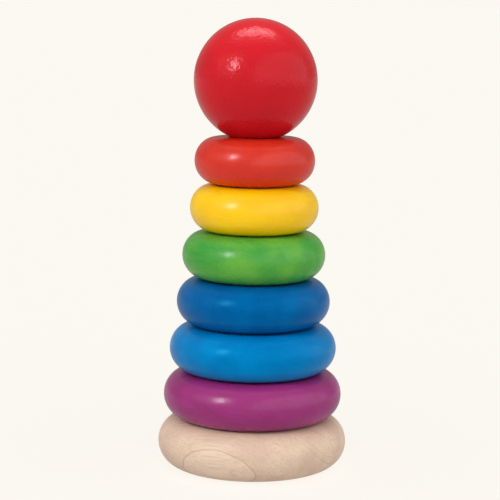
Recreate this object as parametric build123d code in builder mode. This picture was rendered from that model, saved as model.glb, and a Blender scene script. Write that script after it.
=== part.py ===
from build123d import *

import os
from math import radians, tan

# Stacking ring toy, turned from solid wood.
#
# A round base holds a glued-in upright post. Six loose rings of falling diameter drop over the
# post, and a ball with a blind bore caps it. Every piece is a body of revolution about the
# post's axis. Sizes are in millimetres, +Z is up, and the origin is the centre of the base's
# underside.

# Base
base_diameter = 90.0
base_height = 23.2
base_side_depth = 10.7  # how far in from its widest point the rounded side reaches

# Rings, from the bottom of the stack to the top
ring_diameters = {
    "purple_ring": 85.0,
    "light_blue_ring": 79.5,
    "dark_blue_ring": 73.0,
    "green_ring": 68.0,
    "yellow_ring": 61.0,
    "orange_ring": 57.0,
}
ring_thickness = 22.4
ring_side_depth = 10.2
ring_bore_clearance = 1.0  # radial gap to the post
ring_bore_rim_radius = 2.0

# Ball
ball_diameter = 58.2
ball_seat_width = 3.3  # how far the flat that it rests on reaches out from its bore
ball_bore_clearance = 0.75  # radial gap to the post
ball_bore_rim_radius = 1.2
ball_tip_clearance = 1.5  # gap between the post's tip and the end of the bore's straight wall
ball_drill_point_angle = 118.0  # full angle of the cone that the drill leaves at the bore's end

# Post
post_diameter = 16.0
post_reach_into_ball = 24.0
post_tip_rounding = 6.0
post_socket_depth = 14.0  # how deep the post is glued into the base
post_foot_chamfer = 1.0

post_radius = post_diameter / 2
post_foot = base_height - post_socket_depth
stack_top = base_height + ring_thickness * len(ring_diameters)
post_tip = stack_top + post_reach_into_ball


def disc_section(radius, side_depth, bottom, height, bore_radius):
    """Half section of a flat disc, from its bore out to a side that is half an ellipse."""
    side_centre = (radius - side_depth, bottom + height / 2)
    with BuildSketch(Plane.XZ) as section:
        with BuildLine():
            side = EllipticalCenterArc(side_centre, side_depth, height / 2, start_angle=-90, arc_size=180)
            Polyline(side @ 0, (bore_radius, bottom), (bore_radius, bottom + height), side @ 1)
        make_face()
    return section.sketch


def make_base():
    """Disc with a blind socket for the post in its top."""
    with BuildPart() as base:
        add(disc_section(base_diameter / 2, base_side_depth, bottom=0, height=base_height, bore_radius=0))
        revolve(axis=Axis.Z)
        with Locations((0, 0, base_height)):
            Hole(post_radius, depth=post_socket_depth)
    return base


def make_post():
    """Dowel that stands on the socket's floor, chamfered at its foot and rounded at its tip."""
    with BuildPart() as post:
        with BuildSketch(Plane.XY.offset(post_foot)):
            Circle(post_radius)
        extrude(amount=post_tip - post_foot)
        fillet(post.edges().group_by(Axis.Z)[-1], post_tip_rounding)
        chamfer(post.edges().group_by(Axis.Z)[0], post_foot_chamfer)
    return post


def make_ring(diameter, seat):
    """Loose ring with softened bore rims, lying on its flat underside at height seat."""
    bore_radius = post_radius + ring_bore_clearance
    with BuildPart() as ring:
        add(disc_section(diameter / 2, ring_side_depth, seat, ring_thickness, bore_radius))
        revolve(axis=Axis.Z)
        bore_rims = ring.edges().filter_by(GeomType.CIRCLE).sort_by(SortBy.RADIUS)[:2]
        fillet(bore_rims, ring_bore_rim_radius)
    return ring


def make_ball():
    """Ball cut flat where it rests on the top ring, with a drilled blind bore for the post."""
    radius = ball_diameter / 2
    bore_radius = post_radius + ball_bore_clearance
    bore_end = post_tip + ball_tip_clearance
    drill_point = bore_end + bore_radius / tan(radians(ball_drill_point_angle / 2))
    seat_radius = bore_radius + ball_seat_width
    centre = stack_top + (radius**2 - seat_radius**2) ** 0.5
    with BuildPart() as ball:
        with BuildSketch(Plane.XZ):
            with BuildLine():
                outside = ThreePointArc((seat_radius, stack_top), (radius, centre), (0, centre + radius))
                Polyline(
                    outside @ 1,
                    (0, drill_point),
                    (bore_radius, bore_end),
                    (bore_radius, stack_top),
                    outside @ 0,
                )
            make_face()
        revolve(axis=Axis.Z)
        bore_mouth = ball.edges().group_by(Axis.Z)[0].sort_by(SortBy.RADIUS)[0]
        fillet(bore_mouth, ball_bore_rim_radius)
    return ball


pieces = {"base": make_base(), "post": make_post()}
for level, (ring_name, ring_diameter) in enumerate(ring_diameters.items()):
    pieces[ring_name] = make_ring(ring_diameter, seat=base_height + level * ring_thickness)
pieces["ball"] = make_ball()

os.makedirs("parts", exist_ok=True)
for node_name, piece in pieces.items():
    piece.part.label = node_name
    export_step(piece.part, f"parts/{node_name}.step")
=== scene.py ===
from math import acos, cos, degrees, pi, radians, sin, tan, tau

import bmesh
import bpy
from mathutils import Matrix, Vector, noise


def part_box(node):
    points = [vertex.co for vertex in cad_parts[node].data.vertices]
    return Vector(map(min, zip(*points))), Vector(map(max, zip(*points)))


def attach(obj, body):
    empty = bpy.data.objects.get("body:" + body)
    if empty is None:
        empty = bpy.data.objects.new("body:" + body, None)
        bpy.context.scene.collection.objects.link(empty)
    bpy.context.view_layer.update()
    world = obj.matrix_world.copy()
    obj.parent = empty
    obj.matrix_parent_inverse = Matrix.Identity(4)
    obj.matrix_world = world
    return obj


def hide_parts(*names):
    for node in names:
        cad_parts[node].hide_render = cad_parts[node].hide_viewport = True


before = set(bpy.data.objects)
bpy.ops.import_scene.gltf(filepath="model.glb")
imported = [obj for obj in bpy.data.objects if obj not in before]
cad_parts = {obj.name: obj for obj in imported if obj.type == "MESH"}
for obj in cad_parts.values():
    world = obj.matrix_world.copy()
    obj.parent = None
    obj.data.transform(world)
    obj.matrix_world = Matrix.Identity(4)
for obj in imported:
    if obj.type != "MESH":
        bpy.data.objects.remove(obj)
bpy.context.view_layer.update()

# Looks of a stacking ring toy: a base and post of pale wood, six stained rings and a red ball.
# Lengths are in metres. Each piece is turned about the Z axis, as on a lathe, and stands for the
# CAD node of the same name, at that node's size and place.

MM = 0.001

# Shape details that the CAD nodes' boxes don't give
BASE_SIDE_DEPTH = 10.7 * MM
BASE_SOCKET_CHAMFER = 0.4 * MM
RING_SIDE_DEPTH = 10.2 * MM
FLAT_FALL = 0.2 * MM  # how far a ring's flats, and the base's top, fall away to their edge
RING_BORE_RADIUS = 9.0 * MM
RING_RIM_ROUNDING = 2.0 * MM
BALL_BORE_RADIUS = 8.75 * MM
BALL_BORE_DEPTH = 25.5 * MM
BALL_DRILL_POINT = 5.26 * MM
BALL_RIM_ROUNDING = 1.2 * MM
BALL_SEAT_RADIUS = 12.05 * MM
BALL_SEAT_EDGE = 0.4 * MM  # how far sanding softens the edge of the flat that the ball rests on
POST_TIP_ROUNDING = 6.0 * MM
POST_FOOT_CHAMFER = 1.0 * MM
UNEVENNESS = 0.05 * MM  # how far sanding by hand leaves a side off a true circle
UNEVENNESS_LENGTH = 20 * MM  # distance over which that changes

FACES_ROUND = 192  # faces round a turned piece
FLAT_STEP = 2.5 * MM  # distance between the edge loops on its flats and straight walls
SIDE_STEPS = 48  # faces along a disc's or ring's rounded side
BALL_STEPS = 96
POST_TIP_STEPS = 16
RING_RIM_STEPS = 10
BALL_RIM_STEPS = 8


# ---- Turned shapes -------------------------------------------------------------------------


def arc(centre, across, up, start, end, steps):
    """Points (radius, height) on an elliptical arc from angle start to angle end, in degrees."""
    angles = [radians(start + (end - start) * i / steps) for i in range(steps + 1)]
    return [(centre[0] + across * cos(a), centre[1] + up * sin(a)) for a in angles]


def between(start, end):
    """Points evenly spaced between start and end, without either."""
    steps = max(1, round((Vector(end) - Vector(start)).length / FLAT_STEP))
    return [tuple(Vector(start).lerp(Vector(end), i / steps)) for i in range(1, steps)]


def joined(*stretches, closed=False):
    """One outline from stretches of points, with edge loops added where they lie far apart."""
    outline = list(stretches[0])
    for stretch in stretches[1:]:
        outline += between(outline[-1], stretch[0]) + list(stretch)
    if closed:
        outline += between(outline[-1], outline[0])
    return outline


def uneven(place, amount):
    """How far a hand-sanded surface stands off its true circle at place."""
    return UNEVENNESS * amount * noise.noise(place / UNEVENNESS_LENGTH)


def turn(name, outline, amount, closed=False):
    """Mesh object made by turning an outline of (radius, height) points about the Z axis.

    An open outline starts and ends on the axis. amount(radius, height) is the share of the
    unevenness that a point takes, from 0 to 1.
    """
    mesh = bmesh.new()
    rows = []
    for radius, height in outline:
        if radius < UNEVENNESS:
            rows.append([mesh.verts.new((0, 0, height))])
            continue
        row = []
        for i in range(FACES_ROUND):
            out = Vector((cos(tau * i / FACES_ROUND), sin(tau * i / FACES_ROUND), 0))
            place = radius * out + Vector((0, 0, height))
            row.append(mesh.verts.new(place + out * uneven(place, amount(radius, height))))
        rows.append(row)
    for first, second in zip(rows, rows[1:] + rows[:1] * closed):
        for i in range(FACES_ROUND):
            a, b = first[i % len(first)], first[(i + 1) % len(first)]
            d, c = second[i % len(second)], second[(i + 1) % len(second)]
            corners = [a, b, c, d]
            mesh.faces.new([v for k, v in enumerate(corners) if v not in corners[:k]])
    bmesh.ops.recalc_face_normals(mesh, faces=mesh.faces)
    for face in mesh.faces:
        face.smooth = True
    data = bpy.data.meshes.new(name)
    mesh.to_mesh(data)
    mesh.free()
    made = bpy.data.objects.new(name, data)
    bpy.context.collection.objects.link(made)
    return made


def measures(node):
    """Radius, lowest point and highest point of a CAD node."""
    low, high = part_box(node)
    return (high.y - low.y) / 2, low.z, high.z


def make_base():
    """Disc with a side that is half an ellipse, and the post's socket, chamfered at its mouth.

    The side ends below the top by FLAT_FALL, so that the top falls away to its edge.
    """
    radius, bottom, top = measures("base")
    post_radius, socket_floor, _ = measures("post")
    flat = radius - BASE_SIDE_DEPTH
    middle = (bottom + top - FLAT_FALL) / 2
    outline = joined(
        [(0, bottom)],
        arc((flat, middle), BASE_SIDE_DEPTH, middle - bottom, -90, 90, SIDE_STEPS),
        [(post_radius + BASE_SOCKET_CHAMFER, top), (post_radius, top - BASE_SOCKET_CHAMFER)],
        [(post_radius, socket_floor)],
        [(0, socket_floor)],
    )
    return turn("base_disc", outline, lambda r, z: max(0, (r - flat) / BASE_SIDE_DEPTH))


def make_post():
    """Dowel with a chamfered foot and a rounded tip."""
    radius, bottom, top = measures("post")
    rounding = POST_TIP_ROUNDING
    outline = joined(
        [(0, bottom)],
        [(radius - POST_FOOT_CHAMFER, bottom), (radius, bottom + POST_FOOT_CHAMFER)],
        arc((radius - rounding, top - rounding), rounding, rounding, 0, 90, POST_TIP_STEPS),
        [(0, top)],
    )
    return turn("post_dowel", outline, lambda r, z: 0)


def make_ring(node):
    """Ring with a side that is half an ellipse, and a bore with rounded rims.

    The side is thinner than the ring by FLAT_FALL above and below, so that both flats fall away.
    """
    radius, bottom, top = measures(node)
    flat = radius - RING_SIDE_DEPTH
    middle = (bottom + top) / 2
    side_up = (top - bottom) / 2 - FLAT_FALL
    rounding = RING_RIM_ROUNDING
    rim = RING_BORE_RADIUS + rounding
    outline = joined(
        arc((flat, middle), RING_SIDE_DEPTH, side_up, -90, 90, SIDE_STEPS),
        arc((rim, top - rounding), rounding, rounding, 90, 180, RING_RIM_STEPS),
        arc((rim, bottom + rounding), rounding, rounding, 180, 270, RING_RIM_STEPS),
        closed=True,
    )

    def amount(radius, height):
        return max(0, (radius - flat) / RING_SIDE_DEPTH)

    return turn(node + "_turned", outline, amount, closed=True)


def make_ball():
    """Ball cut flat where it rests on the top ring, with a drilled blind bore for the post."""
    radius, bottom, top = measures("ball")
    rounding = BALL_RIM_ROUNDING
    bore_end = bottom + BALL_BORE_DEPTH
    bore_rim = (BALL_BORE_RADIUS + rounding, bottom + rounding)
    seat_angle = degrees(acos((BALL_SEAT_RADIUS + BALL_SEAT_EDGE) / radius))
    outline = joined(
        [(0, bore_end + BALL_DRILL_POINT)],
        [(BALL_BORE_RADIUS, bore_end)],
        arc(bore_rim, rounding, rounding, 180, 270, BALL_RIM_STEPS),
        [(BALL_SEAT_RADIUS - BALL_SEAT_EDGE, bottom)],
        arc((0, top - radius), radius, radius, -seat_angle, 90, BALL_STEPS),
    )
    return turn("ball_turned", outline, lambda r, z: float(r > BALL_SEAT_RADIUS))


# ---- Materials -----------------------------------------------------------------------------

FIRST_YEAR = 1.8 * MM  # from the pith to the end of the first growth ring
YEAR_WIDTH = 2.83 * MM
YEAR_SWAY = 1.5 * MM  # how far the growth rings sway in and out
FAINT_YEAR = 0.05  # darkness of the lines that aren't among a block's dark years

# Grain sizes: along the grain and twice across it, but for rays along the grain, out and round
SWAY_GRAIN = (50 * MM, 12 * MM, 12 * MM)
FIBRE_GRAIN = (18 * MM, 0.6 * MM, 0.6 * MM)
RAY_GRAIN = (1.2 * MM, 4 * MM, 0.5 * MM)
BLOTCH_GRAIN = (30 * MM, 11 * MM, 11 * MM)
PEEL_GRAIN = (1.4 * MM, 1.4 * MM, 1.4 * MM)

WOOD_BUMP = 0.012 * MM
RING_PEEL_DEPTH = 0.035 * MM
BALL_PEEL_DEPTH = 0.15 * MM
RING_ROUGHNESS = 0.27
BALL_ROUGHNESS = 0.18
ROUGHNESS_SPREAD = 0.03  # how far the lacquer's roughness goes either way from blotch to blotch
FULL_GLOSS = 0.36  # specular levels
WEAK_GLOSS = 0.25


class Shader:
    """A material's nodes. Each call adds a node and returns its first output."""

    def __init__(self, name):
        self.material = bpy.data.materials.new(name)
        self.material.use_nodes = True
        self.nodes = self.material.node_tree.nodes
        self.links = self.material.node_tree.links
        self.surface = self.nodes["Principled BSDF"]

    def put(self, node, socket, value):
        """Links an output to a node's socket, or sets the socket to a plain value."""
        if isinstance(value, bpy.types.NodeSocket):
            self.links.new(value, node.inputs[socket])
        else:
            node.inputs[socket].default_value = value

    def add(self, kind, inputs, output=0, **settings):
        """Adds a node of a kind, with its sockets' inputs and its own settings."""
        node = self.nodes.new(kind)
        for name, value in settings.items():
            setattr(node, name, value)
        for socket, value in inputs.items():
            self.put(node, socket, value)
        return node.outputs[output]

    def math(self, operation, first, second=0.0, third=0.0):
        return self.add("ShaderNodeMath", {0: first, 1: second, 2: third}, operation=operation)

    def scaled(self, place, lengths):
        """Coordinates divided by a length along each axis, so that noise has that grain size."""
        scale = tuple(1 / length for length in lengths)
        return self.add("ShaderNodeMapping", {"Vector": place, "Scale": scale}, vector_type="POINT")

    def noise(self, place, lengths, detail=2.0):
        inputs = {"Vector": self.scaled(place, lengths), "Scale": 1.0, "Detail": detail}
        return self.add("ShaderNodeTexNoise", inputs)

    def fade(self, value, low, high, low_result=0.0, high_result=1.0):
        """value from low to high, smoothly turned into low_result to high_result."""
        inputs = {"Value": value, 1: low, 2: high, 3: low_result, 4: high_result}
        return self.add("ShaderNodeMapRange", inputs, interpolation_type="SMOOTHSTEP")

    def mix(self, share, first, second, blend="MIX"):
        inputs = {0: share, 6: first, 7: second}
        return self.add("ShaderNodeMix", inputs, 2, data_type="RGBA", blend_type=blend)


def linear(value):
    """Linear share of light from a screen value of 0 to 255."""
    share = value / 255
    return share / 12.92 if share < 0.04045 else ((share + 0.055) / 1.055) ** 2.4


def colour(red, green, blue):
    """Linear colour from screen values of 0 to 255."""
    return (linear(red), linear(green), linear(blue), 1)


class Wood:
    """The grain of a block of solid wood: growth rings round a pith, fibres and rays.

    pith is a point on the pith. lie is the direction that the grain runs in, as turns in degrees
    about the Y and Z axes, from the X axis. dark_years gives the growth rings that end in a dark
    line, counted from the pith, and how dark each is.
    """

    def __init__(self, shader, pith, lie, dark_years):
        board = {"Location": pith, "Rotation": (0, radians(lie[0]), radians(lie[1]))}
        board["Vector"] = shader.add("ShaderNodeTexCoord", {}, "Object")
        self.place = shader.add("ShaderNodeMapping", board, vector_type="TEXTURE")
        along = shader.add("ShaderNodeSeparateXYZ", {0: self.place}, "X")
        y, z = along.node.outputs["Y"], along.node.outputs["Z"]
        squares = shader.math("ADD", shader.math("MULTIPLY", y, y), shader.math("MULTIPLY", z, z))
        radius = shader.math("SQRT", squares)
        sway = shader.noise(self.place, SWAY_GRAIN)
        sway = shader.math("MULTIPLY", shader.math("SUBTRACT", sway, 0.5), YEAR_SWAY)
        grown = shader.math("SUBTRACT", shader.math("ADD", radius, sway), FIRST_YEAR)
        years = shader.math("DIVIDE", grown, YEAR_WIDTH)
        phase = shader.math("FRACT", years)
        rise, fall = shader.fade(phase, 0.80, 0.97), shader.fade(phase, 0.97, 1.0, 1.0, 0.0)
        line = shader.math("MULTIPLY", rise, fall)
        darkness = FAINT_YEAR
        for year, extra in dark_years.items():
            chosen = shader.math("COMPARE", years, year + 0.5, 0.5)
            darkness = shader.math("MULTIPLY_ADD", chosen, extra, darkness)
        self.lines = shader.math("MULTIPLY", line, darkness)
        self.late = shader.fade(phase, 0.2, 0.95)
        self.years = years
        self.fibres = shader.noise(self.place, FIBRE_GRAIN)
        tangent = shader.math("MULTIPLY", shader.math("ARCTAN2", z, y), radius)
        polar = shader.add("ShaderNodeCombineXYZ", {"X": along, "Y": radius, "Z": tangent})
        self.rays = shader.noise(polar, RAY_GRAIN, detail=1.0)
        self.blotches = shader.noise(self.place, BLOTCH_GRAIN)


def bare_wood():
    """Pale close-grained wood under a clear satin lacquer."""
    shader = Shader("natural_wood")
    dark_years = {3: 0.5, 6: 0.5, 7: 0.6, 14: 0.85}
    wood = Wood(shader, (-15 * MM, 5 * MM, 27 * MM), (-2.4, -23.8), dark_years)
    pale, rosy = colour(228, 203, 181), colour(217, 188, 170)
    heart, brown = colour(230, 205, 184), colour(188, 150, 126)
    tone = shader.mix(shader.fade(wood.blotches, 0.35, 0.65), pale, rosy)
    tone = shader.mix(shader.fade(wood.years, 14.7, 15.1, 0.0, 0.7), tone, heart)
    tone = shader.mix(shader.math("MULTIPLY", wood.late, 0.05), tone, brown)
    tone = shader.mix(shader.math("MULTIPLY", wood.lines, 0.7), tone, brown)
    tone = shader.mix(shader.fade(wood.fibres, 0.45, 0.75, 0.0, 0.42), tone, brown)
    tone = shader.mix(shader.fade(wood.rays, 0.5, 0.75, 0.0, 0.1), tone, brown)
    shader.put(shader.surface, "Base Color", tone)
    shader.put(shader.surface, "Roughness", shader.fade(wood.fibres, 0.2, 0.8, 0.42, 0.54))
    shader.put(shader.surface, "Specular IOR Level", 0.3)
    height = shader.math("MULTIPLY_ADD", wood.fibres, 0.6, wood.rays)
    bump = {"Height": height, "Strength": 1.0, "Distance": WOOD_BUMP}
    shader.put(shader.surface, "Normal", shader.add("ShaderNodeBump", bump))
    return shader.material


def stained_wood(name, deep, bright, sheen, pith, lie, level, roughness, peel_depth):
    """Wood under a translucent stain and a gloss lacquer that has a fine orange peel.

    The stain goes from bright to deep. sheen tints the reflections, and level is their strength.
    """
    shader = Shader(name)
    wood = Wood(shader, pith, lie, {})
    stain = shader.math("MULTIPLY_ADD", wood.blotches, 1.2, shader.math("MULTIPLY", wood.fibres, 0.5))
    stain = shader.math("MULTIPLY_ADD", wood.lines, 0.8, stain)
    stain = shader.math("MULTIPLY_ADD", wood.rays, 0.2, stain)
    tone = shader.mix(shader.fade(stain, 0.6, 1.3), bright, deep)
    shader.put(shader.surface, "Base Color", tone)
    shader.put(shader.surface, "Specular IOR Level", level)
    shader.put(shader.surface, "Specular Tint", sheen)
    smoothest, roughest = roughness - ROUGHNESS_SPREAD, roughness + ROUGHNESS_SPREAD
    gloss = shader.fade(wood.blotches, 0.3, 0.7, smoothest, roughest)
    shader.put(shader.surface, "Roughness", gloss)
    peel = shader.noise(wood.place, PEEL_GRAIN, detail=1.0)
    height = shader.math("MULTIPLY_ADD", wood.fibres, 0.12, peel)
    bump = {"Height": height, "Strength": 1.0, "Distance": peel_depth}
    shader.put(shader.surface, "Normal", shader.add("ShaderNodeBump", bump))
    return shader.material


# ---- Stage ---------------------------------------------------------------------------------

AIM = Vector((0, 0, 120 * MM))  # about the toy's middle, which the lights face
LIGHT_DISTANCE = 2.5
BACKGROUND = colour(251, 248, 241)
FLOOR_RADIUS = 60
FLOOR_GLOW = 0.857  # what the camera sees the floor give out, besides the light that falls on it
FLOOR_BOUNCE = 0.46  # what the toy sees it give out
WORLD_IN_FRONT = 0.68  # brightness of the world for the toy
WORLD_BEHIND = 0.34

CAMERA_PLACE = (0, -0.8278, 0.2226)
CAMERA_LENS = 126.6
CAMERA_TURN = 0.0022  # in radians, as are the next two
CAMERA_TILT = 0.1428
CAMERA_ROLL = 0.0108


def make_floor():
    """Wide pale floor. For the camera it glows, so that it is even out to the horizon."""
    mesh = bmesh.new()
    bmesh.ops.create_circle(mesh, cap_ends=True, segments=96, radius=FLOOR_RADIUS)
    data = bpy.data.meshes.new("floor")
    mesh.to_mesh(data)
    mesh.free()
    floor = bpy.data.objects.new("floor", data)
    bpy.context.collection.objects.link(floor)
    shader = Shader("pale_floor")
    seen = shader.add("ShaderNodeLightPath", {}, "Is Camera Ray")
    glow = shader.fade(seen, 0.0, 1.0, FLOOR_BOUNCE, FLOOR_GLOW)
    shader.put(shader.surface, "Base Color", (0.3, 0.3, 0.3, 1))
    shader.put(shader.surface, "Roughness", 1.0)
    shader.put(shader.surface, "Specular IOR Level", 0.0)
    shader.put(shader.surface, "Emission Color", BACKGROUND)
    shader.put(shader.surface, "Emission Strength", glow)
    data.materials.append(shader.material)


def softbox(name, direction, width, height, radiance):
    """Oval light that faces AIM from a direction; width and height are angles in degrees."""
    data = bpy.data.lights.new(name, "AREA")
    data.shape = "ELLIPSE"
    data.size = 2 * LIGHT_DISTANCE * tan(radians(width / 2))
    data.size_y = 2 * LIGHT_DISTANCE * tan(radians(height / 2))
    area = data.size * data.size_y * (pi / 4)
    data.energy = radiance * area * pi
    lamp = bpy.data.objects.new(name, data)
    lamp.location = AIM + Vector(direction).normalized() * LIGHT_DISTANCE
    lamp.rotation_euler = Vector(direction).to_track_quat("Z", "Y").to_euler()
    lamp.visible_camera = False
    bpy.context.collection.objects.link(lamp)
    lamp.light_linking.receiver_collection = toy


def make_lights():
    """A soft light overhead, a lamp and a panel on the left, and a wide panel on the right."""
    softbox("overhead", (0.0, 0.10, 0.99), 70, 44, 0.5)
    softbox("overhead_core", (0.0, 0.22, 0.975), 44, 20, 5.5)
    softbox("left_lamp", (-0.611, -0.617, 0.498), 9, 21, 25.0)
    softbox("left_panel", (-0.80, -0.425, 0.423), 40, 34, 0.6)
    softbox("right_panel", (0.77, -0.56, 0.20), 116, 76, 0.85)


def make_world():
    """Pale all round for the camera. For the toy it is brighter in front than behind."""
    world = bpy.data.worlds.new("studio")
    bpy.context.scene.world = world
    world.use_nodes = True
    nodes = world.node_tree.nodes
    links = world.node_tree.links
    coordinates = nodes.new("ShaderNodeTexCoord")
    direction = nodes.new("ShaderNodeSeparateXYZ")
    depth = nodes.new("ShaderNodeMapRange")
    seen = nodes.new("ShaderNodeLightPath")
    choice = nodes.new("ShaderNodeMix")
    depth.inputs["From Min"].default_value = -0.7
    depth.inputs["From Max"].default_value = 0.5
    depth.inputs["To Min"].default_value = WORLD_IN_FRONT
    depth.inputs["To Max"].default_value = WORLD_BEHIND
    choice.inputs["B"].default_value = 1.0
    links.new(coordinates.outputs["Generated"], direction.inputs[0])
    links.new(direction.outputs["Y"], depth.inputs["Value"])
    links.new(depth.outputs[0], choice.inputs["A"])
    links.new(seen.outputs["Is Camera Ray"], choice.inputs["Factor"])
    background = nodes["Background"]
    background.inputs["Color"].default_value = BACKGROUND
    links.new(choice.outputs[0], background.inputs["Strength"])


def make_camera():
    """Camera in front of the toy, a little above its top, tilted down and rolled a touch."""
    data = bpy.data.cameras.new("camera")
    data.lens = CAMERA_LENS
    camera = bpy.data.objects.new("camera", data)
    place = Matrix.Translation(CAMERA_PLACE)
    aim = Matrix.Rotation(CAMERA_TURN, 4, "Z") @ Matrix.Rotation(pi / 2 - CAMERA_TILT, 4, "X")
    camera.matrix_world = place @ aim @ Matrix.Rotation(CAMERA_ROLL, 4, "Z")
    bpy.context.collection.objects.link(camera)
    bpy.context.scene.camera = camera


# ---- The toy -------------------------------------------------------------------------------


toy = bpy.data.collections.new("toy")  # what the lights fall on


def finish_piece(piece, node, body, material):
    """Puts a piece among what the lights fall on, gives it its material, parents it to an empty for
    its body, and hides the CAD node that it stands for.
    """
    toy.objects.link(piece)
    piece.data.materials.append(material)
    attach(piece, body)
    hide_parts(node)


natural = bare_wood()
finish_piece(make_base(), "base", "stand", natural)
finish_piece(make_post(), "post", "stand", natural)

WHITE = (1, 1, 1, 1)
PINK = (1, 0.7, 0.82, 1)
SKY_BLUE = (0.05, 0.7, 1.0, 1)

# The deep and the bright end of each ring's stain, the tint of its reflections and their strength
STAINS = {
    "purple_ring": (colour(142, 36, 106), colour(158, 46, 122), WHITE, FULL_GLOSS),
    "light_blue_ring": (colour(0, 114, 182), colour(0, 130, 198), SKY_BLUE, WEAK_GLOSS),
    "dark_blue_ring": (colour(0, 85, 151), colour(0, 99, 167), SKY_BLUE, WEAK_GLOSS),
    "green_ring": (colour(52, 152, 56), colour(100, 174, 58), WHITE, FULL_GLOSS),
    "yellow_ring": (colour(246, 190, 4), colour(255, 208, 5), WHITE, FULL_GLOSS),
    "orange_ring": (colour(204, 38, 24), colour(216, 50, 32), WHITE, FULL_GLOSS),
}
for number, (node, (deep, bright, sheen, level)) in enumerate(STAINS.items()):
    slot = node.replace("_ring", "_lacquer")
    pith = (20 * MM, 60 * MM, (90 - 35 * number) * MM)  # each ring is cut from another block
    lie = (2 + number, -10 + 47 * number)
    looks = (deep, bright, sheen, pith, lie, level, RING_ROUGHNESS, RING_PEEL_DEPTH)
    finish_piece(make_ring(node), node, node, stained_wood(slot, *looks))

deep, bright = colour(196, 21, 33), colour(206, 25, 37)
pith, lie = (0, 70 * MM, 150 * MM), (5, 15)
looks = (deep, bright, PINK, pith, lie, WEAK_GLOSS, BALL_ROUGHNESS, BALL_PEEL_DEPTH)
finish_piece(make_ball(), "ball", "ball", stained_wood("red_lacquer", *looks))

make_floor()
make_lights()
make_world()
make_camera()
bpy.context.scene.view_settings.view_transform = "Standard"
